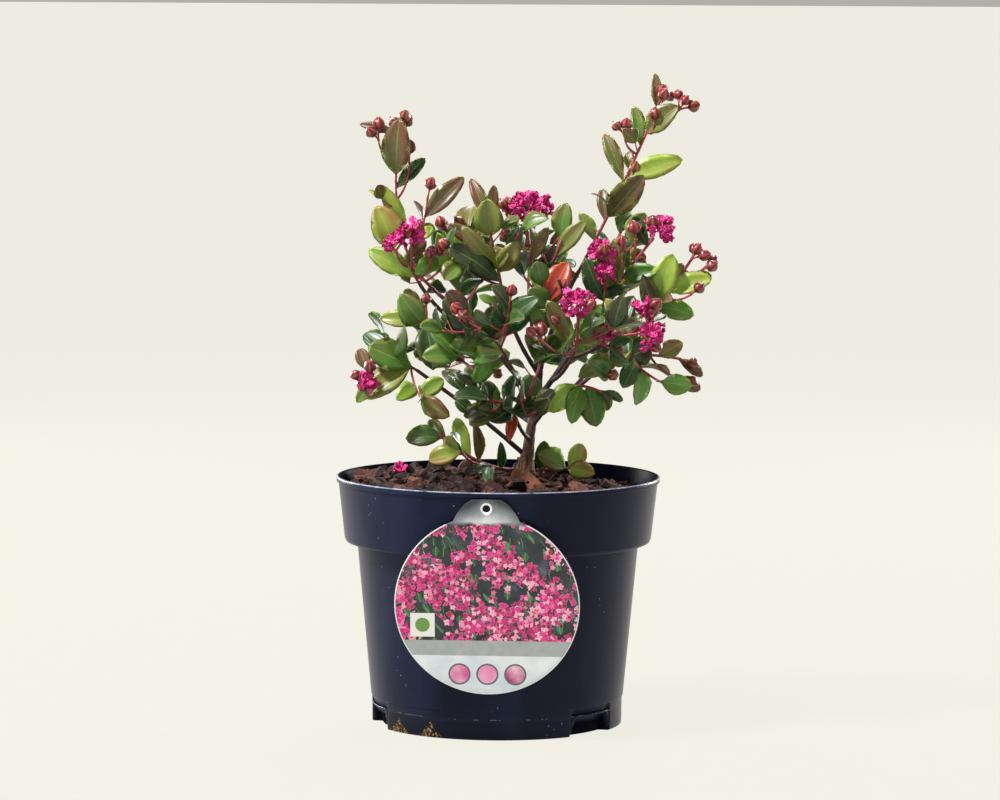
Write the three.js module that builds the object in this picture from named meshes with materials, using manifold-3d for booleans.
// A young crape myrtle shrub in a round nursery pot, with a plain round care label.
// Millimetres, +Z up, +X to the right, the front of the pot towards -Y.
// The origin is the middle of the pot's flat underside.

import * as THREE from 'three';
import { mergeVertices } from 'three/addons/utils/BufferGeometryUtils.js';
import Module from 'manifold-3d';

const wasm = await Module();
wasm.setup();

// ---------------------------------------------------------------- driving dimensions

const CLEARANCE = 0.3; // left between pieces that touch
const NEAREST = 0.25; // a twig or leaf this near to another piece is left out
const MERGE = 1e-4; // vertices nearer than this are one
const TIDY = 0.05; // edges shorter than this are closed after fusing
const GRAIN = 0.004; // corners of one solid stand further apart than this
const NUDGES = [0, 0.04, -0.04, 0.06]; // shifts tried when a piece is fused on

const POT = {
  height: 145.5,
  rimRadius: 95,
  lipDrop: 3,
  collarTopRadius: 93.8,
  collarFootRadius: 90.2,
  collarFoot: 107,
  collarCorner: 2,
  wallTopRadius: 82.6,
  wallFootRadius: 74.2,
  footHeight: 16.6,
  footRadius: 73.4,
  wall: 1.4,
  floor: 2.2,
  segments: 28,
};

const FOOT_NOTCH = { width: 25.6, slant: 4.2, height: 11, depth: 5.8, bearings: [49, -74, 168] };

const MIX = { level: 139.5, lowSide: 9, mound: 4, moundRadius: 26, seat: 142.4, seatRadius: 9.2, chips: 8 };

const LABEL = {
  radius: 53,
  thickness: 0.5,
  centreHeight: 80,
  lean: 8.6, // degrees, top outwards
  bearing: -4, // degrees round the pot from the front
  tabWidth: 38,
  tabTipWidth: 16,
  tabTip: 62.4, // above the disc's centre
  holeRadius: 2.2,
  holeHeight: 57,
};

const LEAF = {
  length: 25,
  width: 16.5,
  thickness: 0.9,
  fold: 0.16,
  curl: 0.14,
  crest: 0.38, // the share of its length at which it is thickest
  shoulder: 0.08, // how far its corners stand past a plain pentagon's
  bluntness: 0.55, // its breadth at its blunt tip, over its width
  footLean: 1, // radians off a shoot at its foot
  tipLean: 0.55,
  rise: 0.3, // how far it turns up towards the light
  spacing: 8.8,
};

const TWIG = {
  standOff: 0.3, // how far a stem off the trunk stands out past the clearance, over its radius
  stemRadius: 1.4,
  tipRadius: 1,
  sideRadius: 1.2,
  sideLength: 25,
  straight: 18, // a shoot up to this length is one straight piece
  setOut: 0.42, // the share of its reach over which a leader keeps its first way
  sag: 2.5, // how far a leaning shoot's middle hangs off the straight
  sideSag: 1.5,
  forward: 0.6, // how far a side shoot leans along its leader
  rise: 0.25, // and upwards
  budded: 0.2, // the share of side shoots that end in a bud
  sunk: 0.4,
};

// How the rule's leaves vary. Ranges run from a first value to a last one.
const PLAY = {
  shares: [0.3, 0.94], // where the pairs stand on their shoot
  lengths: [1.04, 0.84], // their length, over LEAF.length, from the shoot's foot to its tip
  sizes: [0.72, 1.1], // by chance, over that length
  breadths: [0.88, 1.1], // by chance, over the plain width
  folds: [0.4, 1.9], // by chance, over LEAF.fold and LEAF.curl
  curls: [0.2, 1.8],
  turn: 0.35, // radians either way round the shoot
  lean: 0.15,
  stagger: 0.03, // how far a leaf stands past its partner, as a share of the shoot
  last: 0.98, // no pair stands past this share
  tipPlace: 0.97, // where a shoot's last leaf stands, and its lean
  tipLean: 0.05,
  swingTilt: 0.2, // how far a leaf tilts away as it swings aside
};

// How the rule's side shoots vary.
const SIDES = {
  shares: [0.15, 0.75], // where they stand on the leader
  lengths: [0.8, 1.2], // by chance, over TWIG.sideLength
};

// A limb or a leader over this length is bent in four pieces.
const LONG_LIMB = 45;
const LONG_LEADER = 50;

const BUD = {
  radius: 3.7,
  stalk: 7.5,
  stalkRadius: 0.8,
  sides: 4,
  spread: 0.95, // how far buds fan out from their shoot's way
  firstSpread: 0.15,
  bloomReach: 1.7, // how far a bud beside a bloom stands off, over a plain stalk
};

const BLOOM = {
  detailed: 9.6, // a bloom over this size has twice the ruffles
  lift: 0.55, // its middle past its shoot's tip, over its size
  least: 0.72, // its ruffles, over its size
  most: 1.12,
  flat: 0.25,
  room: 0.8, // the room kept round it, over its size, and in front
  frontRoom: 1.8,
};

// The light that leaves turn to: aside, towards the front or back, and from above.
const LIGHT = { aside: 0.9, front: 0.8, low: 0.1, high: 1.2, roll: 0.6, edge: 12 };

const SET_PLAY = 0.25; // how freely a set leaf turns aside, over any other leaf
const GOLDEN_TURN = 2.39996; // radians between one side shoot and the next
const FULL_TURN = 2 * Math.PI;

// A limb leaves its parent at a fraction of the parent's length. Its tip and bow are
// [across, deep, high]; the bow is how far its middle stands off the straight line.
const TRUNK = {
  name: 'trunk',
  foot: [15.8, 0, MIX.seat + CLEARANCE],
  tip: [23.4, 1, 194],
  bow: [-1.2, 0, 0],
  radii: [3.1, 2.4],
  flare: 3.8,
};

const BOUGHS = [
  { name: 'centre', from: 'trunk', at: 0.98, tip: [21.5, 2, 250], bow: [2, 0, 0], radii: [1.9, 1.2] },
  { name: 'left', from: 'trunk', at: 0.9, tip: [-36, 5, 252], bow: [-1, 1, 5], radii: [1.7, 1.15] },
  { name: 'right', from: 'trunk', at: 0.92, tip: [58, -4, 242], bow: [0, -1, -1], radii: [1.75, 1.15] },
  { name: 'left_low', from: 'trunk', at: 0.27, tip: [-48, -9, 208], bow: [1, -3, 1], radii: [1.4, 1.05] },
  { name: 'right_low', from: 'trunk', at: 0.76, tip: [58, -13, 209], bow: [0, -1, -2], radii: [1.4, 1.1] },
  { name: 'left_outer', from: 'left', at: 0.5, tip: [-47, -13, 260], bow: [-3, -3, -3], radii: [1.3, 1.1] },
  { name: 'left_mid', from: 'left', at: 0.38, tip: [-38, -16, 233], bow: [0, -3, 0], radii: [1.3, 1.05] },
  { name: 'centre_left', from: 'centre', at: 0.2, tip: [2, -11, 254], bow: [-3, -3, 0], radii: [1.35, 1.1] },
  { name: 'right_leader', from: 'centre', at: 0.28, tip: [47, 7, 266], bow: [-2, 2, 0], radii: [1.45, 1.2] },
  { name: 'right_outer', from: 'right', at: 0.72, tip: [88, -8, 244], bow: [2, -1, -3], radii: [1.4, 1.1] },
  { name: 'right_mid', from: 'right', at: 0.5, tip: [62, -27, 226], bow: [0, -3, -1], radii: [1.3, 1.1] },
  { name: 'right_under', from: 'trunk', at: 0.6, tip: [43, -18, 199], bow: [0, 0, 3], radii: [1.25, 1.05] },
  { name: 'front_left', from: 'trunk', at: 0.86, tip: [3, -34, 220], bow: [0, -4, -1], radii: [1.35, 1.05] },
  { name: 'front_right', from: 'right', at: 0.24, tip: [42, -40, 218], bow: [0, -4, -2], radii: [1.3, 1.05] },
  { name: 'front_low', from: 'trunk', at: 0.48, tip: [10, -26, 182], bow: [0, -2, -2], radii: [1.25, 1.05] },
  { name: 'back_left', from: 'left', at: 0.24, tip: [-16, 36, 236], bow: [0, 4, -2], radii: [1.35, 1.1] },
  { name: 'back', from: 'centre', at: 0.12, tip: [18, 37, 244], bow: [0, 4, -2], radii: [1.4, 1.1] },
  { name: 'back_right', from: 'right', at: 0.36, tip: [50, 35, 240], bow: [0, 4, -2], radii: [1.35, 1.1] },
  { name: 'back_low_left', from: 'trunk', at: 0.66, tip: [-13, 37, 202], bow: [0, 3, -3], radii: [1.4, 1.1] },
  { name: 'back_low_right', from: 'trunk', at: 0.7, tip: [53, 36, 204], bow: [0, 3, -3], radii: [1.35, 1.1] },
];

// A mass grows on from the tip of its bough, or out of the trunk's side at a fraction of
// its height. Its leading shoot has so many leaf pairs and one kind of end, the rule
// sets sides more shoots round it, and also holds shoots that lean a particular way.
// On the open sprays, set holds the leaves that stand apart against the sky: where each
// leaves its shoot, where its tip reaches to, and its width.
const MASSES = [
  {
    name: 'left_leader', from: 'left', seed: 11, sides: 0,
    lead: { tip: [-58, 3, 350], pairs: 0, end: 'buds', count: 3 },
    also: [
      { at: 0.3, tip: [-42, -6, 309], pairs: 0, end: 'buds', count: 1 },
      { at: 0.12, tip: [-26, 2, 280], pairs: 2, end: 'leaf' },
      { at: 0.82, tip: [-71, -2, 343], pairs: 0, end: 'buds', count: 3 },
      { at: 0.66, tip: [-53, 2, 330], pairs: 0, end: 'buds', count: 1 },
    ],
    set: [
      { at: 0.79, tip: [-60, -10, 352], width: 18 },
      { at: 0.72, tip: [-44, 4, 332], width: 9 },
      { at: 0.97, tip: [-52, 8, 358], width: 5 },
      { at: 0.97, tip: [-82, 2, 352], width: 6 },
      { at: 0.45, tip: [-68, 0, 316], width: 12 },
      { shoot: 1, at: 0.7, tip: [-22, -8, 321], width: 12 },
    ],
  },
  {
    name: 'left_outer', from: 'left_outer', seed: 12, sides: 0,
    lead: { tip: [-62, -15, 280], pairs: 0, end: 'leaf' },
    also: [
      { at: 0.3, tip: [-51, -22, 283], pairs: 0, end: 'bloom', size: 9 },
      { at: 0.45, tip: [-60, -23, 279], pairs: 0, end: 'bloom', size: 6.5 },
      { at: 0.1, tip: [-40, -16, 272], pairs: 0, end: 'buds', count: 2 },
    ],
    set: [
      { at: 0.97, tip: [-70, -20, 304], width: 20 },
      { at: 0.12, tip: [-75, -18, 279], width: 14 },
      { at: 0.55, tip: [-43, -8, 286], width: 9 },
      { at: 0.2, tip: [-36, -14, 274], width: 11 },
    ],
  },
  {
    name: 'left_mid', from: 'left_mid', seed: 13, sides: 0,
    lead: { tip: [-51, -21, 240], pairs: 0, end: 'leaf' },
    also: [{ at: 0.1, tip: [-42, -26, 243], pairs: 0, end: 'buds', count: 1 }],
    set: [
      { at: 0.5, tip: [-57, -26, 252], width: 17 },
      { at: 0.6, tip: [-69, -20, 240], width: 11 },
      { at: 0.35, tip: [-37, -32, 213], width: 21 },
      { at: 0.95, tip: [-52, -14, 258], width: 11 },
    ],
  },
  {
    name: 'left_low', from: 'left_low', seed: 14, sides: 1,
    lead: { tip: [-77, -13, 207], pairs: 0, end: 'buds', count: 2 },
    also: [
      { at: 0.15, tip: [-45, -22, 193], pairs: 1, end: 'leaf' },
      { at: 0.8, tip: [-74, -20, 203], pairs: 0, end: 'bloom', size: 6 },
    ],
    set: [
      { at: 0.1, tip: [-75, -17, 223], width: 20 },
      { at: 0.15, tip: [-78, -22, 195], width: 18 },
      { at: 0.6, tip: [-84, -10, 189], width: 11 },
      { shoot: 1, at: 0.9, tip: [-32, -20, 204], width: 11 },
      { at: 0.97, tip: [-82, -9, 221], width: 9 },
      { shoot: 1, at: 0.5, tip: [-56, -30, 195], width: 11 },
    ],
  },
  {
    name: 'left_foot', from: 'trunk', at: 0.12, seed: 15, sides: 0,
    lead: { tip: [-35, -12, 171], pairs: 0, end: 'leaf' },
    also: [{ at: 0.42, tip: [-22, -22, 162], pairs: 0, end: 'leaf' }],
    set: [
      { at: 0.95, tip: [-54, -14, 170], width: 14 },
      { at: 0.9, tip: [-42, -4, 180], width: 9 },
      { at: 0.35, tip: [-6, -28, 147], width: 8 },
      { shoot: 1, at: 0.97, tip: [-41, -22, 157], width: 13 },
      { shoot: 1, at: 0.85, tip: [-32, -17, 170], width: 10 },
      { at: 0.6, tip: [-26, 0, 180], width: 10 },
      { at: 0.5, tip: [-12, -20, 176], width: 8 },
      { at: 0.3, tip: [-13, -18, 150], width: 9 },
      { at: 0.2, tip: [2, -12, 165], width: 6 },
    ],
  },
  {
    name: 'centre_left', from: 'centre_left', seed: 16, sides: 1,
    lead: { tip: [-7, -13, 297], pairs: 0, end: 'leaf' },
    also: [
      { at: 0.1, tip: [-27, -17, 276], pairs: 2, end: 'buds', count: 2 },
      { at: 0.35, tip: [-20, 1, 288], pairs: 1, end: 'buds', count: 2 },
    ],
    set: [
      { at: 0.8, tip: [-7, -20, 309], width: 18 },
      { at: 0.97, tip: [-16, -12, 321], width: 9 },
      { at: 0.97, tip: [-3, -14, 317], width: 8 },
      { at: 0.45, tip: [3, -22, 277], width: 15 },
      { at: 0.6, tip: [-31, -14, 294], width: 10 },
      { at: 0.35, tip: [-21, -26, 291], width: 13 },
      { at: 0.15, tip: [-25, -28, 283], width: 17 },
      { at: 0.3, tip: [10, -24, 282], width: 13 },
      { shoot: 1, at: 0.8, tip: [-32, -26, 262], width: 13 },
      { shoot: 1, at: 0.6, tip: [-16, -30, 268], width: 12 },
    ],
  },
  {
    name: 'centre', from: 'centre', seed: 17, sides: 1,
    lead: { tip: [16, 0, 295], pairs: 0, end: 'bloom', size: 13.5 },
    also: [
      { at: 0.2, tip: [36, -6, 284], pairs: 2, end: 'leaf' },
      { at: 0.12, tip: [6, 12, 282], pairs: 2, end: 'buds', count: 2 },
      { at: 0.7, tip: [4, -4, 300], pairs: 0, end: 'buds', count: 2 },
    ],
    set: [
      { at: 0.5, tip: [27, -6, 291], width: 9 },
      { at: 0.35, tip: [28, -10, 266], width: 13 },
      { shoot: 1, at: 0.7, tip: [50, -8, 296], width: 11 },
      { at: 0.3, tip: [24, -12, 258], width: 11 },
    ],
  },
  {
    name: 'right_leader', from: 'right_leader', seed: 18, sides: 0,
    lead: { tip: [94, 8, 366], pairs: 0, end: 'buds', count: 4 },
    also: [
      { at: 0.72, tip: [73, 3, 346], pairs: 0, end: 'buds', count: 2 },
      { at: 0.86, tip: [105, 6, 361], pairs: 0, end: 'buds', count: 3 },
      { at: 0.84, tip: [90, 4, 350], pairs: 0, end: 'buds', count: 1 },
      { at: 0.42, tip: [77, -6, 321], pairs: 0, end: 'buds', count: 1 },
    ],
    set: [
      { at: 0.33, tip: [60, 10, 315], width: 8 },
      { at: 0.35, tip: [83, -14, 322], width: 17 },
      { at: 0.56, tip: [62, 8, 347], width: 10 },
      { at: 0.6, tip: [107, 4, 332], width: 14 },
      { at: 0.76, tip: [80, 12, 364], width: 9 },
      { at: 0.84, tip: [103, -2, 363], width: 15 },
      { at: 0.96, tip: [91, 8, 382], width: 7 },
      { at: 0.1, tip: [66, 14, 284], width: 10 },
      { at: 0.2, tip: [48, 4, 300], width: 9 },
    ],
  },
  {
    name: 'right_shoulder', from: 'right', seed: 19, sides: 1,
    lead: { tip: [90, -8, 286], pairs: 0, end: 'bloom', size: 10 },
    also: [
      { at: 0.2, tip: [60, -12, 271], pairs: 0, end: 'bloom', size: 9.5 },
      { at: 0.7, tip: [79, -14, 286], pairs: 1, end: 'buds', count: 2 },
      { at: 0.45, tip: [71, -12, 275], pairs: 0, end: 'buds', count: 1 },
      { at: 0.15, tip: [62, -16, 262], pairs: 1, end: 'bloom', size: 5.5 },
    ],
    set: [
      { at: 0.3, tip: [66, -22, 282], width: 13 },
      { at: 0.5, tip: [92, -16, 268], width: 12 },
      { at: 0.15, tip: [50, -14, 272], width: 13 },
      { at: 0.9, tip: [78, -4, 299], width: 8 },
      { at: 0.1, tip: [72, -22, 258], width: 12 },
    ],
  },
  {
    name: 'right_outer', from: 'right_outer', seed: 20, sides: 0,
    lead: { tip: [113, -9, 275], pairs: 0, end: 'buds', count: 3 },
    also: [
      { at: 0.3, tip: [112, -18, 254], pairs: 0, end: 'buds', count: 1 },
      { at: 0.8, tip: [119, -8, 268], pairs: 0, end: 'buds', count: 2 },
    ],
    set: [
      { at: 0.1, tip: [100, -18, 275], width: 17 },
      { at: 0.05, tip: [84, -22, 264], width: 12 },
      { at: 0.35, tip: [108, 0, 272], width: 11 },
      { at: 0.4, tip: [124, -12, 263], width: 14 },
      { at: 0.1, tip: [113, -14, 243], width: 13 },
      { at: 0.2, tip: [99, -24, 252], width: 10 },
    ],
  },
  {
    name: 'right_mid', from: 'right_mid', seed: 21, sides: 1,
    lead: { tip: [82, -33, 232], pairs: 0, end: 'bloom', size: 10 },
    also: [
      { at: 0.1, tip: [61, -44, 230], pairs: 0, end: 'bloom', size: 7 },
      { at: 0.5, tip: [92, -26, 244], pairs: 1, end: 'leaf' },
      { at: 0.55, tip: [83, -30, 242], pairs: 0, end: 'bloom', size: 6.5 },
    ],
    set: [
      { at: 0.4, tip: [74, -40, 222], width: 13 },
      { at: 0.5, tip: [64, -36, 252], width: 14 },
      { at: 0.3, tip: [78, -24, 254], width: 12 },
    ],
  },
  {
    name: 'right_low', from: 'right_low', seed: 22, sides: 1,
    lead: { tip: [106, -17, 216], pairs: 0, end: 'buds', count: 1 },
    also: [
      { at: 0.1, tip: [64, -34, 207], pairs: 1, end: 'buds', count: 1 },
      { at: 0.7, tip: [106, -20, 205], pairs: 0, end: 'buds', count: 1 },
    ],
    set: [
      { at: 0.3, tip: [50, -34, 210], width: 14 },
      { at: 0.6, tip: [72, -28, 200], width: 12 },
      { at: 0.5, tip: [88, -22, 223], width: 18 },
      { at: 0.8, tip: [107, -18, 226], width: 11 },
      { at: 0.97, tip: [120, -14, 206], width: 8 },
      { at: 0.2, tip: [76, -20, 222], width: 13 },
      { shoot: 2, at: 0.95, tip: [118, -20, 198], width: 9 },
    ],
  },
  {
    name: 'right_under', from: 'right_under', seed: 23, sides: 0,
    lead: { tip: [60, -23, 197], pairs: 0, end: 'leaf' },
    also: [],
    set: [
      { at: 0.3, tip: [29, -28, 188], width: 15 },
      { at: 0.3, tip: [43, -34, 182], width: 13 },
      { at: 0.6, tip: [57, -28, 177], width: 16 },
      { at: 0.9, tip: [64, -24, 186], width: 12 },
      { at: 0.97, tip: [74, -20, 192], width: 6 },
    ],
  },
  {
    name: 'right_foot', from: 'trunk', at: 0.12, seed: 24, sides: 0,
    lead: { tip: [42, -8, 151], pairs: 0, end: 'leaf' },
    also: [],
    set: [
      { at: 0.88, tip: [25, -16, 161], width: 16 },
      { at: 0.97, tip: [50, -6, 165], width: 12 },
      { at: 0.95, tip: [56, -14, 149], width: 12 },
      { at: 0.15, tip: [27, -14, 167], width: 10 },
    ],
  },
  {
    name: 'front_left', from: 'front_left', seed: 25, sides: 2,
    lead: { tip: [-20, -56, 244], pairs: 2, end: 'buds', count: 2 },
    also: [
      { at: 0.1, tip: [-24, -42, 219], pairs: 2, end: 'leaf' },
      { at: 0.12, tip: [6, -50, 250], pairs: 3, end: 'buds', count: 1 },
    ],
    set: [
      { at: 0.1, tip: [-27, -48, 227], width: 14 },
      { at: 0.4, tip: [-4, -56, 246], width: 14 },
      { at: 0.9, tip: [-30, -60, 258], width: 12 },
      { shoot: 1, at: 0.7, tip: [-2, -58, 222], width: 12 },
    ],
  },
  {
    name: 'front_right', from: 'front_right', seed: 26, sides: 1,
    lead: { tip: [45, -60, 245], pairs: 1, end: 'bloom', size: 11 },
    also: [
      { at: 0.1, tip: [24, -58, 230], pairs: 2, end: 'buds', count: 2 },
      { at: 0.3, tip: [24, -44, 262], pairs: 3, end: 'buds', count: 1 },
    ],
    set: [
      { at: 0.2, tip: [28, -56, 252], width: 13 },
      { at: 0.4, tip: [62, -56, 236], width: 12 },
      { at: 0.3, tip: [58, -54, 250], width: 12 },
      { shoot: 2, at: 0.72, tip: [39, -44, 274], width: 16 },
    ],
  },
  {
    name: 'front_low', from: 'front_low', seed: 27, sides: 0,
    lead: { tip: [-6, -46, 194], pairs: 2, end: 'leaf' },
    also: [
      { at: 0.15, tip: [22, -44, 188], pairs: 1, end: 'leaf' },
      { at: 0.1, tip: [-22, -36, 200], pairs: 2, end: 'leaf' },
      { at: 0.08, tip: [24, -40, 216], pairs: 2, end: 'leaf' },
    ],
    set: [
      { at: 0.1, tip: [6, -42, 172], width: 7 },
      { at: 0.25, tip: [25, -38, 190], width: 15 },
      { at: 0.3, tip: [-4, -46, 182], width: 13 },
    ],
  },
  {
    name: 'back_left', from: 'back_left', seed: 28, sides: 2,
    lead: { tip: [-34, 62, 284], pairs: 4, end: 'buds', count: 2 },
    also: [{ at: 0.2, tip: [-8, 58, 266], pairs: 3, end: 'leaf' }],
  },
  {
    name: 'back', from: 'back', seed: 29, sides: 2,
    lead: { tip: [22, 62, 294], pairs: 3, end: 'bloom', size: 11 },
    also: [{ at: 0.15, tip: [36, 58, 266], pairs: 3, end: 'leaf' }],
  },
  {
    name: 'back_right', from: 'back_right', seed: 30, sides: 2,
    lead: { tip: [74, 60, 288], pairs: 3, end: 'buds', count: 2 },
    also: [{ at: 0.2, tip: [84, 40, 256], pairs: 3, end: 'leaf' }],
  },
  {
    name: 'back_low_left', from: 'back_low_left', seed: 31, sides: 1,
    lead: { tip: [-44, 62, 216], pairs: 4, end: 'leaf' },
    also: [{ at: 0.2, tip: [-8, 68, 212], pairs: 3, end: 'leaf' }],
  },
  {
    name: 'back_low_right', from: 'back_low_right', seed: 32, sides: 1,
    lead: { tip: [84, 58, 222], pairs: 4, end: 'buds', count: 2 },
    also: [{ at: 0.2, tip: [42, 68, 214], pairs: 3, end: 'leaf' }],
  },
];

// ---------------------------------------------------------------- materials

function finish(colour, roughness, metalness = 0) {
  return new THREE.MeshStandardMaterial({ color: new THREE.Color(colour), roughness, metalness });
}

const FINISHES = {
  pot: () => finish('#20222f', 0.42),
  mix: () => finish('#4a2a1e', 0.95),
  label: () => finish('#c9466f', 0.35),
  bark: () => finish('#4b2f2c', 0.8),
  foliage: () => finish('#55702f', 0.5),
};

// ---------------------------------------------------------------- small helpers

const UP = new THREE.Vector3(0, 0, 1);

function vector([across, deep, high]) {
  return new THREE.Vector3(across, deep, high);
}

function mix(from, to, share) {
  return from + (to - from) * share;
}

// A repeatable number from 0 to 1 that hangs only on its whole-number keys.
function chance(...keys) {
  let hash = 2166136261;
  for (const key of keys) {
    hash = Math.imul(hash ^ key, 16777619);
    hash = Math.imul(hash ^ (hash >>> 15), 2246822519);
    hash ^= hash >>> 13;
  }
  return (hash >>> 0) / 4294967296;
}

function between(low, high, ...keys) {
  return mix(low, high, chance(...keys));
}

// ---------------------------------------------------------------- solids

function toSolid(geometry) {
  geometry.deleteAttribute('normal');
  geometry.deleteAttribute('uv');
  const merged = mergeVertices(geometry, MERGE);
  const mesh = new wasm.Mesh({
    numProp: 3,
    vertProperties: new Float32Array(merged.attributes.position.array),
    triVerts: new Uint32Array(merged.index.array),
  });
  return new wasm.Manifold(mesh);
}

// The largest outer skin of a solid: sealed hollows are filled, loose scraps dropped.
function largestBody(solid) {
  const bodies = solid.decompose().filter((body) => body.volume() > 0);
  return bodies.reduce((best, body) => (body.volume() > best.volume() ? body : best));
}

// Whether every two corners of a solid stand further apart than GRAIN.
function isCrisp(solid) {
  const places = solid.getMesh().vertProperties;
  return [0, 0.5].every((shift) => {
    const cells = new Set();
    for (let start = 0; start < places.length; start += 3) {
      const cell = [0, 1, 2].map((axis) => Math.round(places[start + axis] / GRAIN + shift));
      cells.add(cell.join());
    }
    return cells.size === places.length / 3;
  });
}

// Pieces fused one after another, each nudged a hair where its corners would otherwise
// stand too near the body's.
function fuse(pieces) {
  return pieces.reduce((body, piece) => {
    for (const nudge of NUDGES) {
      const grown = body.add(piece.translate([nudge, nudge, nudge])).simplify(TIDY);
      if (isCrisp(grown)) {
        return grown;
      }
    }
    return body;
  });
}

function toMesh(name, solid, material) {
  const result = largestBody(solid.simplify(TIDY)).getMesh();
  const geometry = new THREE.BufferGeometry();
  geometry.setAttribute('position', new THREE.Float32BufferAttribute(result.vertProperties, 3));
  geometry.setIndex(Array.from(result.triVerts));
  geometry.computeVertexNormals();
  const mesh = new THREE.Mesh(geometry, material);
  mesh.name = name;
  return mesh;
}

function cut(solid, tools) {
  return tools.reduce((rest, tool) => rest.subtract(tool), solid);
}

function lathe(profile, segments) {
  const points = profile.map(([radius, height]) => new THREE.Vector2(radius, height));
  const geometry = new THREE.LatheGeometry(points, segments);
  geometry.rotateX(Math.PI / 2);
  return toSolid(geometry);
}

// ---------------------------------------------------------------- curves and tubes

// A limb's centre line: one smooth arc whose middle stands off the straight by bow.
function arc(start, tip, bow) {
  const middle = start.clone().add(tip).multiplyScalar(0.5);
  middle.addScaledVector(bow, 2);
  return new THREE.QuadraticBezierCurve3(start, middle, tip);
}

// Two directions square to the curve at a fraction of it, with its own direction.
function frameAt(curve, share) {
  const along = curve.getTangent(share);
  const chord = curve.v2.clone().sub(curve.v0);
  const sizes = [Math.abs(chord.x), Math.abs(chord.y), Math.abs(chord.z)];
  const least = sizes.indexOf(Math.min(...sizes));
  const reference = new THREE.Vector3().setComponent(least, 1);
  const side = new THREE.Vector3().crossVectors(reference, along).normalize();
  const over = new THREE.Vector3().crossVectors(side, along);
  return { along, side, over };
}

// A tapering tube round a curve, swollen by flare towards its root.
function tube(curve, [rootRadius, tipRadius], sides, steps, flare = 0, extra = 0) {
  const geometry = new THREE.CylinderGeometry(1, 1, 1, sides, steps);
  const places = geometry.attributes.position;
  for (let index = 0; index < places.count; index += 1) {
    const share = places.getY(index) + 0.5;
    const radius = mix(rootRadius, tipRadius, share) + flare * (1 - share) ** 4 + extra;
    const { side, over } = frameAt(curve, share);
    const place = curve.getPoint(share);
    place.addScaledVector(side, places.getX(index) * radius);
    place.addScaledVector(over, places.getZ(index) * radius);
    places.setXYZ(index, place.x, place.y, place.z);
  }
  return toSolid(geometry);
}

// ---------------------------------------------------------------- pot

function outerProfile() {
  const lipFoot = POT.height - POT.lipDrop;
  return [
    [0, 0],
    [POT.footRadius, 0],
    [POT.footRadius + 0.2, POT.footHeight],
    [POT.wallFootRadius, POT.footHeight],
    [POT.wallTopRadius, POT.collarFoot],
    [POT.collarFootRadius - POT.collarCorner, POT.collarFoot],
    [POT.collarFootRadius, POT.collarFoot + POT.collarCorner],
    [POT.collarTopRadius, lipFoot],
    [POT.rimRadius, lipFoot],
    [POT.rimRadius, POT.height - 1],
    [POT.rimRadius - 1, POT.height],
    [0, POT.height],
  ];
}

// The inner radius of the collar, drawn in by inset, at a height.
function collarRadius(inset, height) {
  const slope = (POT.collarTopRadius - POT.collarFootRadius) / (POT.height - POT.collarFoot);
  return POT.collarTopRadius - inset + slope * (height - POT.height);
}

// The inside of the pot drawn in by inset, up to a given height.
function innerProfile(inset, top) {
  const shoulder = POT.collarFoot + inset;
  return [
    [0, POT.floor + inset - POT.wall],
    [POT.footRadius - inset, POT.floor + inset - POT.wall],
    [POT.footRadius - inset, POT.footHeight],
    [POT.wallTopRadius - inset, shoulder],
    [POT.collarFootRadius - inset, shoulder + POT.collarCorner],
    [collarRadius(inset, top), top],
    [0, top],
  ];
}

// The recess pressed into the foot of the wall, as a slant-sided block grown by extra.
function footNotch(bearing, extra) {
  const half = FOOT_NOTCH.width / 2 + extra;
  const top = FOOT_NOTCH.height + extra;
  const shape = new THREE.Shape();
  shape.moveTo(-half - FOOT_NOTCH.slant, -1);
  shape.lineTo(half + FOOT_NOTCH.slant, -1);
  shape.lineTo(half, top);
  shape.lineTo(-half, top);
  shape.closePath();
  const geometry = new THREE.ExtrudeGeometry(shape, { depth: 40, bevelEnabled: false });
  geometry.rotateX(Math.PI / 2);
  geometry.translate(0, -(POT.footRadius - FOOT_NOTCH.depth - extra), 0);
  geometry.rotateZ(THREE.MathUtils.degToRad(bearing));
  return toSolid(geometry);
}

function makePot() {
  const notches = FOOT_NOTCH.bearings.map((bearing) => footNotch(bearing, 0));
  const inner = FOOT_NOTCH.bearings.map((bearing) => footNotch(bearing, POT.wall));
  const cavity = cut(lathe(innerProfile(POT.wall, POT.height + 5), POT.segments), inner);
  return cut(lathe(outerProfile(), POT.segments), [...notches, cavity]);
}

// ---------------------------------------------------------------- potting mix

// The height of the mix: level, lower towards the back right, mounded at the trunk.
function mixHeight(across, deep) {
  const lean = THREE.MathUtils.smoothstep((across + deep) * 0.7, 18, 80);
  const off = Math.hypot(across - TRUNK.foot[0], deep - TRUNK.foot[1]) / MIX.moundRadius;
  return MIX.level - MIX.lowSide * lean + MIX.mound * Math.exp(-off * off);
}

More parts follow.
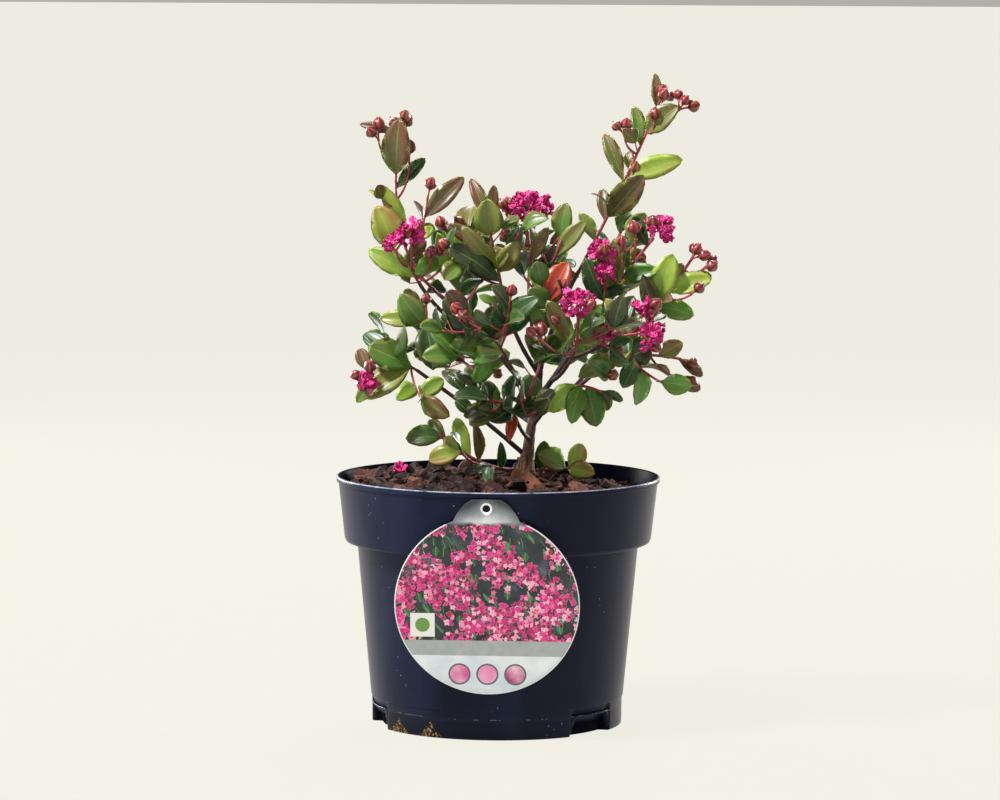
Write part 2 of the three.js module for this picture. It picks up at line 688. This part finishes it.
function barkChip(number) {
  const turn = number * GOLDEN_TURN;
  const radius = 80 * Math.sqrt((number + 1.5) / (MIX.chips + 2));
  const size = [between(9, 17, number, 1), between(6, 10, number, 2), between(3, 5, number, 3)];
  const geometry = new THREE.BoxGeometry(...size);
  const places = geometry.attributes.position;
  for (let index = 0; index < places.count; index += 1) {
    const corner = (places.getX(index) > 0 ? 1 : 0) + (places.getY(index) > 0 ? 2 : 0);
    const squeeze = between(0.6, 1, number, corner, 4);
    places.setXYZ(index, places.getX(index) * squeeze, places.getY(index) * squeeze, places.getZ(index));
  }
  geometry.rotateX(between(-0.35, 0.35, number, 5));
  geometry.rotateY(between(-0.35, 0.35, number, 6));
  geometry.rotateZ(between(0, Math.PI, number, 7));
  const across = radius * Math.cos(turn);
  const deep = radius * Math.sin(turn);
  geometry.translate(across, deep, mixHeight(across, deep) + 0.6);
  return toSolid(geometry);
}

function makeMix() {
  const inset = POT.wall + CLEARANCE;
  const footInset = POT.footRadius - FOOT_NOTCH.depth - inset - 1;
  const profile = innerProfile(inset, MIX.level);
  profile.splice(1, 1, [footInset, POT.floor + CLEARANCE], [footInset, FOOT_NOTCH.height + inset + 0.5]);
  const rim = profile[profile.length - 2][0];
  profile.pop();
  for (const share of [0.74, 0.4]) {
    profile.push([rim * share, MIX.level]);
  }
  profile.push([0, MIX.level]);
  const points = profile.map(([radius, height]) => new THREE.Vector2(radius, height));
  const geometry = new THREE.LatheGeometry(points, POT.segments);
  geometry.rotateX(Math.PI / 2);
  const places = geometry.attributes.position;
  for (let index = 0; index < places.count; index += 1) {
    const [across, deep, high] = [places.getX(index), places.getY(index), places.getZ(index)];
    if (high > MIX.level - 1) {
      const isEdge = Math.hypot(across, deep) > rim - 1;
      const lump = isEdge ? 0 : between(-1.2, 1.2, Math.round(across), Math.round(deep), 9);
      const rise = mixHeight(across, deep) + lump;
      const draw = isEdge ? collarRadius(inset, rise) / rim : 1;
      places.setXYZ(index, across * draw, deep * draw, rise);
    }
  }
  let solid = toSolid(geometry);
  for (let number = 0; number < MIX.chips; number += 1) {
    solid = solid.add(barkChip(number));
  }
  const seat = new THREE.CylinderGeometry(MIX.seatRadius, MIX.seatRadius, 20, 10);
  seat.rotateX(Math.PI / 2);
  seat.translate(TRUNK.foot[0], TRUNK.foot[1], MIX.seat + 10);
  return solid.subtract(toSolid(seat));
}

// ---------------------------------------------------------------- care label

// A flat disc with a rounded hanging tab and a hole, leaning on the pot's collar.
function makeLabel() {
  const neckHeight = Math.sqrt(LABEL.radius ** 2 - (LABEL.tabWidth / 2) ** 2);
  const neckTurn = Math.atan2(neckHeight, LABEL.tabWidth / 2);
  const tipHalf = LABEL.tabTipWidth / 2;
  const shape = new THREE.Shape();
  shape.absarc(0, 0, LABEL.radius, Math.PI - neckTurn, 2 * Math.PI + neckTurn, false);
  shape.quadraticCurveTo(LABEL.tabWidth / 2 - 4, LABEL.tabTip - 3, tipHalf, LABEL.tabTip);
  shape.lineTo(-tipHalf, LABEL.tabTip);
  shape.quadraticCurveTo(-LABEL.tabWidth / 2 + 4, LABEL.tabTip - 3, -LABEL.tabWidth / 2, neckHeight);
  const hole = new THREE.Path();
  hole.absarc(0, LABEL.holeHeight, LABEL.holeRadius, 0, 2 * Math.PI, true);
  shape.holes.push(hole);
  const options = { depth: LABEL.thickness, bevelEnabled: false, curveSegments: 9 };
  const geometry = new THREE.ExtrudeGeometry(shape, options);
  const lean = THREE.MathUtils.degToRad(LABEL.lean);
  const drop = (LABEL.centreHeight - POT.collarFoot - POT.collarCorner) * Math.tan(lean);
  geometry.rotateX(Math.PI / 2 + lean);
  const off = POT.collarFootRadius + CLEARANCE / Math.cos(lean) + drop;
  geometry.translate(0, -off, LABEL.centreHeight);
  geometry.rotateZ(THREE.MathUtils.degToRad(LABEL.bearing));
  return toSolid(geometry);
}

// ---------------------------------------------------------------- trunk and boughs

const BOUGH_SIDES = 5;
const TRUNK_SIDES = 8;
const limbs = new Map();

function addLimb(plan, start, flare, sides, steps) {
  const curve = arc(start, vector(plan.tip), vector(plan.bow));
  const solid = tube(curve, plan.radii, sides, steps, flare);
  const swell = CLEARANCE / Math.cos(Math.PI / sides);
  const space = tube(curve, plan.radii, sides, steps, flare, swell);
  limbs.set(plan.name, { curve, radii: plan.radii, solid, space });
}

// Each bough starts on its parent's centre line and is cut clear of every limb before it.
function growLimbs() {
  addLimb(TRUNK, vector(TRUNK.foot), TRUNK.flare, TRUNK_SIDES, 6);
  for (const plan of BOUGHS) {
    const start = limbs.get(plan.from).curve.getPoint(plan.at);
    const earlier = [...limbs.values()].map((limb) => limb.space);
    const steps = start.distanceTo(vector(plan.tip)) > LONG_LIMB ? 4 : 3;
    addLimb(plan, start, 0, BOUGH_SIDES, steps);
    const limb = limbs.get(plan.name);
    limb.solid = largestBody(cut(limb.solid, earlier));
  }
}

// ---------------------------------------------------------------- the rule of growth

// One shoot: its centre line, radii, leaf pairs, what ends it, and the key of its chances.
function shoot(curve, radii, plan, key, steps) {
  const { pairs, end, count = 0, size = 0 } = plan;
  return { curve, radii, pairs, end, count, size, key, steps };
}

// Where a mass takes over, and which way: just past its bough's tip and straight on, or
// just off the trunk's side and outwards.
function stemRoot(plan, tip) {
  const limb = limbs.get(plan.from);
  if (plan.at === undefined) {
    const way = limb.curve.getTangent(1);
    return { start: limb.curve.getPoint(1).addScaledVector(way, CLEARANCE), way };
  }
  const middle = limb.curve.getPoint(plan.at);
  const way = tip.clone().sub(middle).setZ(0).normalize();
  const radius = mix(...limb.radii, plan.at) + TRUNK.flare * (1 - plan.at) ** 4;
  const off = radius + CLEARANCE + TWIG.stemRadius * TWIG.standOff;
  return { start: middle.addScaledVector(way, off), way };
}

// The leading shoot, the shoots that lean a particular way, and the side shoots, which
// turn by the golden angle round the leader and rise towards the light.
function growShoots(plan) {
  const tip = vector(plan.lead.tip);
  const { start, way: first } = stemRoot(plan, tip);
  const control = start.clone().addScaledVector(first, start.distanceTo(tip) * TWIG.setOut);
  const leader = new THREE.QuadraticBezierCurve3(start, control, tip);
  const radii = [plan.at === undefined ? limbs.get(plan.from).radii[1] : TWIG.stemRadius, TWIG.tipRadius];
  const reach = start.distanceTo(tip);
  const shoots = [shoot(leader, radii, plan.lead, plan.seed * 100, reach > LONG_LEADER ? 4 : 2)];
  plan.also.forEach((branch, number) => {
    const root = leader.getPoint(branch.at);
    const end = vector(branch.tip);
    const bow = end.clone().sub(root).cross(UP).cross(end.clone().sub(root)).setLength(-TWIG.sag);
    const curve = arc(root, end, bow);
    const key = plan.seed * 100 + 10 + number;
    const steps = root.distanceTo(end) > TWIG.straight ? 2 : 1;
    shoots.push(shoot(curve, [TWIG.sideRadius, TWIG.tipRadius], branch, key, steps));
  });
  for (let number = 0; number < plan.sides; number += 1) {
    const key = plan.seed * 100 + 20 + number;
    const share = mix(...SIDES.shares, (number + 0.5) / plan.sides);
    const root = leader.getPoint(share);
    const { along, side, over } = frameAt(leader, share);
    const turn = number * GOLDEN_TURN + between(0, FULL_TURN, plan.seed, 1);
    const length = TWIG.sideLength * between(...SIDES.lengths, key, 2);
    const out = side.multiplyScalar(Math.cos(turn)).addScaledVector(over, Math.sin(turn));
    const way = out.addScaledVector(along, TWIG.forward).addScaledVector(UP, TWIG.rise).normalize();
    const end = root.clone().addScaledVector(way, length);
    const ending = chance(key, 3) < TWIG.budded ? { end: 'buds', count: 1 } : { end: 'leaf' };
    const curve = arc(root, end, UP.clone().multiplyScalar(-TWIG.sideSag));
    shoots.push(shoot(curve, [TWIG.sideRadius, TWIG.tipRadius], { pairs: 2, ...ending }, key, 1));
  }
  return shoots;
}

// A leaf with its upper face turned up and to the nearer of the front and the back, then
// aside and rolled a little; play says how freely.
function poseLeaf(base, way, length, width, key, play) {
  const front = base.y < LIGHT.edge ? -LIGHT.front : LIGHT.front;
  const aside = between(-LIGHT.aside, LIGHT.aside, key, 10) * play;
  const light = new THREE.Vector3(aside, front, LIGHT.low + between(0, LIGHT.high, key, 11) * play);
  light.normalize();
  const face = light.addScaledVector(way, -light.dot(way)).normalize();
  face.applyAxisAngle(way, between(-LIGHT.roll, LIGHT.roll, key, 6) * play);
  const fold = LEAF.fold * between(...PLAY.folds, key, 8);
  const curl = LEAF.curl * between(...PLAY.curls, key, 9);
  return { base, way, face, length, width, fold, curl };
}

// Leaves stand in pairs, each pair a quarter turn round from the last, and a shoot that
// ends in a leaf has one small leaf straight on.
function leafSpots(branch) {
  const spots = [];
  for (let pair = 0; pair < branch.pairs; pair += 1) {
    const share = mix(...PLAY.shares, branch.pairs > 1 ? pair / (branch.pairs - 1) : 1);
    for (const flip of [0, 1]) {
      const key = branch.key * 10 + pair * 2 + flip;
      const play = between(-PLAY.turn, PLAY.turn, key, 1);
      const turn = pair * Math.PI * 0.5 + flip * Math.PI + play + branch.key;
      const lean = mix(LEAF.footLean, LEAF.tipLean, share) + between(-PLAY.lean, PLAY.lean, key, 2);
      const place = Math.min(share + flip * PLAY.stagger, PLAY.last);
      spots.push({ branch, key, share, place, turn, lean });
    }
  }
  if (branch.end === 'leaf') {
    const key = branch.key * 10 + 9;
    spots.push({ branch, key, share: 1, place: PLAY.tipPlace, turn: 0, lean: PLAY.tipLean });
  }
  return spots;
}

// The leaf at a spot, swung about its shoot from its first place.
function leafAt({ branch, key, share, place, turn, lean }, swing) {
  const { along, side, over } = frameAt(branch.curve, place);
  const out = side.multiplyScalar(Math.cos(turn + swing)).addScaledVector(over, Math.sin(turn + swing));
  const tilt = lean + Math.abs(swing) * PLAY.swingTilt;
  const way = out.multiplyScalar(Math.sin(tilt)).addScaledVector(along, Math.cos(tilt));
  way.addScaledVector(UP, LEAF.rise).normalize();
  const length = LEAF.length * mix(...PLAY.lengths, share) * between(...PLAY.sizes, key, 5);
  const width = (LEAF.width / LEAF.length) * length * between(...PLAY.breadths, key, 7);
  return poseLeaf(branch.curve.getPoint(place), way, length, width, key, 1);
}

// A leaf of an open spray, from its place on its shoot to its tip.
function setLeaf(plan, shoots, number) {
  const { shoot: host = 0, at, tip, width } = plan.set[number];
  const base = shoots[host].curve.getPoint(at);
  const reach = vector(tip).sub(base);
  const length = reach.length();
  return poseLeaf(base, reach.normalize(), length, width, plan.seed * 1000 + 60 + number, SET_PLAY);
}

// The middle of a blooming shoot's head of blossom.
function headPlace(branch) {
  const along = branch.curve.getTangent(1);
  return branch.curve.getPoint(1).addScaledVector(along, branch.size * BLOOM.lift);
}

// Points that keep room for a head of blossom, most of all in front of it.
function headPoints(branch) {
  const axes = [[1, 0, 0], [0, 1, 0], [0, 0, 1]].map(vector);
  const ways = [...axes, ...axes.map((axis) => axis.clone().negate()), vector([0, -BLOOM.frontRoom, 0])];
  return ways.map((way) => headPlace(branch).addScaledVector(way, branch.size * BLOOM.room));
}

// Five points that stand for a leaf's blade when leaves are kept apart.
function bladePoints({ base, way, face, length, width }) {
  const across = new THREE.Vector3().crossVectors(way, face);
  const spots = [[0.35, 0], [0.62, 0], [0.9, 0], [0.52, 0.4], [0.52, -0.4]];
  return spots.map(([share, aside]) => {
    const point = base.clone().addScaledVector(way, share * length);
    return point.addScaledVector(across, aside * width);
  });
}

// Round buds on short stalks, fanned about the shoot's tip.
function growBuds(branch) {
  const buds = [];
  const number = branch.end === 'bloom' ? 1 : branch.end === 'buds' ? branch.count : 0;
  const { along, side, over } = frameAt(branch.curve, 1);
  const root = branch.curve.getPoint(0.98);
  for (let index = 0; index < number; index += 1) {
    const turn = index * GOLDEN_TURN + branch.key;
    const spread = index === 0 && branch.end === 'buds' ? BUD.firstSpread : BUD.spread;
    const way = along.clone().addScaledVector(side, Math.cos(turn) * spread);
    way.addScaledVector(over, Math.sin(turn) * spread).normalize();
    const radius = BUD.radius * between(0.85, 1.12, branch.key, index, 4);
    const longer = branch.end === 'bloom' ? BUD.bloomReach : between(0.85, 1.3, branch.key, index, 5);
    const reach = BUD.stalk * longer;
    buds.push({ root, way, centre: root.clone().addScaledVector(way, reach), radius });
  }
  return buds;
}

// ---------------------------------------------------------------- leaf, bud and bloom solids

// A leaf is a five-cornered blade, pointed at its root and blunt at its tip, round one
// thicker point on its midrib. Its sides fold up and its ends curl down, and its root
// starts behind the twig's centre line.
function leafSolid(leaf, rootShare = 0) {
  const geometry = new THREE.SphereGeometry(1, 5, 2);
  const places = geometry.attributes.position;
  const across = new THREE.Vector3().crossVectors(leaf.way, leaf.face);
  for (let index = 0; index < places.count; index += 1) {
    const [lengthwise, rise, aside] = [places.getX(index), places.getY(index), places.getZ(index)];
    const isPole = Math.abs(rise) > 0.5;
    const isRoot = !isPole && lengthwise < -0.9;
    const edge = (lengthwise + 1) / 2 + LEAF.shoulder;
    const share = isPole ? LEAF.crest : isRoot ? rootShare : edge;
    const breadth = isPole || isRoot ? 0 : leaf.width * (lengthwise > 0 ? LEAF.bluntness : 1);
    const broad = Math.sign(aside) * 0.5 * breadth;
    const droop = -leaf.curl * leaf.length * (share - LEAF.crest) ** 2 * 2;
    const lift = leaf.fold * Math.abs(broad) * 2 + rise * 0.5 * LEAF.thickness + droop;
    const place = leaf.base.clone().addScaledVector(leaf.way, share * leaf.length - TWIG.sunk);
    place.addScaledVector(across, broad).addScaledVector(leaf.face, isPole || share > 0 ? lift : 0);
    places.setXYZ(index, place.x, place.y, place.z);
  }
  return toSolid(geometry);
}

// A bud and its stalk in one: a turned shape of radii and places along its line.
function budSolid(bud) {
  const reach = bud.root.distanceTo(bud.centre);
  const profile = [
    [0, 0],
    [BUD.stalkRadius, 0],
    [BUD.stalkRadius, reach - bud.radius],
    [bud.radius, reach],
    [0, reach + bud.radius],
  ];
  const points = profile.map(([radius, rise]) => new THREE.Vector2(radius, rise));
  const geometry = new THREE.LatheGeometry(points, BUD.sides);
  const turn = new THREE.Quaternion().setFromUnitVectors(new THREE.Vector3(0, 1, 0), bud.way);
  geometry.applyQuaternion(turn);
  geometry.translate(bud.root.x, bud.root.y, bud.root.z);
  return toSolid(geometry);
}

// A ruffled head of petals: a ball whose corners stand in and out by turns.
function bloomSolid(branch) {
  const geometry = new THREE.IcosahedronGeometry(1, branch.size > BLOOM.detailed ? 1 : 0);
  const places = geometry.attributes.position;
  const along = branch.curve.getTangent(1);
  const centre = headPlace(branch);
  for (let index = 0; index < places.count; index += 1) {
    const spot = new THREE.Vector3().fromBufferAttribute(places, index);
    const keys = spot.toArray().map((value) => Math.round(value * 50));
    const rise = spot.dot(along);
    spot.multiplyScalar(between(BLOOM.least, BLOOM.most, branch.key, ...keys));
    spot.addScaledVector(along, -rise * BLOOM.flat);
    spot.multiplyScalar(branch.size).add(centre);
    places.setXYZ(index, spot.x, spot.y, spot.z);
  }
  return toSolid(geometry);
}

// ---------------------------------------------------------------- masses

const placed = [];

function boxesMeet(one, other) {
  return [0, 1, 2].every(
    (axis) => one.min[axis] < other.max[axis] + CLEARANCE && other.min[axis] < one.max[axis] + CLEARANCE,
  );
}

function isClear(solid, owner) {
  const box = solid.boundingBox();
  return placed.every(
    (item) => item.owner === owner || !boxesMeet(box, item.box) || item.solid.minGap(solid, 1) >= NEAREST,
  );
}

function keep(solid, owner) {
  placed.push({ solid, owner, box: solid.boundingBox() });
}

const SWINGS = [0, 0.55, -0.55, 1.1]; // radians that a crowded leaf may swing aside
const BLADE_START = 0.3; // past this share of its length a leaf touches nothing at all

// Adds a piece to its mass, unless it would come too near a piece of another node.
function addPiece(mass, solid) {
  if (isClear(solid, mass.name)) {
    mass.pieces.push(solid);
    keep(solid, mass.name);
    return true;
  }
  return false;
}

// Whether every point of a leaf stands far enough from every point of the leaves so far.
function hasRoom(leaf, blades) {
  const points = bladePoints(leaf);
  const isApart = (blade, point) => blade.every((other) => other.distanceTo(point) > LEAF.spacing);
  return blades.every((blade) => points.every((point) => isApart(blade, point)));
}

// A leaf stands where neither its blade touches anything nor its root another node.
function addLeaf(mass, leaf) {
  return isClear(leafSolid(leaf, BLADE_START), '') && addPiece(mass, leafSolid(leaf));
}

// All shoots stand before the first bud, and all set leaves before the rule's own, so
// that leaves give way to wood and to each other.
function growMasses() {
  const blades = [];
  const masses = MASSES.map((plan) => {
    const shoots = growShoots(plan);
    return { name: `mass_${plan.name}`, plan, pieces: [], shoots, standing: [] };
  });
  for (const mass of masses) {
    mass.shoots.forEach((branch) => {
      if (addPiece(mass, tube(branch.curve, branch.radii, 3, branch.steps))) {
        mass.standing.push(branch);
      }
    });
  }
  for (const mass of masses) {
    for (const branch of mass.standing) {
      if (branch.end === 'bloom') {
        addPiece(mass, bloomSolid(branch));
        blades.push(headPoints(branch));
      }
      for (const bud of growBuds(branch)) {
        addPiece(mass, budSolid(bud));
        blades.push([bud.centre]);
      }
    }
  }
  for (const mass of masses) {
    const number = (mass.plan.set ?? []).length;
    for (let index = 0; index < number; index += 1) {
      const leaf = setLeaf(mass.plan, mass.shoots, index);
      if (addPiece(mass, leafSolid(leaf))) {
        blades.push(bladePoints(leaf));
      }
    }
  }
  for (const mass of masses) {
    for (const spot of mass.standing.flatMap(leafSpots)) {
      const choices = SWINGS.map((swing) => leafAt(spot, swing));
      const leaf = choices.find((choice) => hasRoom(choice, blades));
      if (leaf !== undefined && addLeaf(mass, leaf)) {
        blades.push(bladePoints(leaf));
      }
    }
  }
  return masses;
}

// ---------------------------------------------------------------- the whole shrub

const shrub = new THREE.Group();
const potSolid = makePot();
const mixSolid = makeMix();
shrub.add(toMesh('pot', potSolid, FINISHES.pot()));
shrub.add(toMesh('potting_mix', mixSolid, FINISHES.mix()));
shrub.add(toMesh('care_label', makeLabel(), FINISHES.label()));
keep(potSolid, 'pot');
keep(mixSolid, 'potting_mix');

growLimbs();
for (const [name, limb] of limbs) {
  const node = name === 'trunk' ? name : `bough_${name}`;
  shrub.add(toMesh(node, limb.solid, FINISHES.bark()));
  keep(limb.solid, node);
}

for (const mass of growMasses()) {
  shrub.add(toMesh(mass.name, fuse(mass.pieces), FINISHES.foliage()));
}

export default shrub;
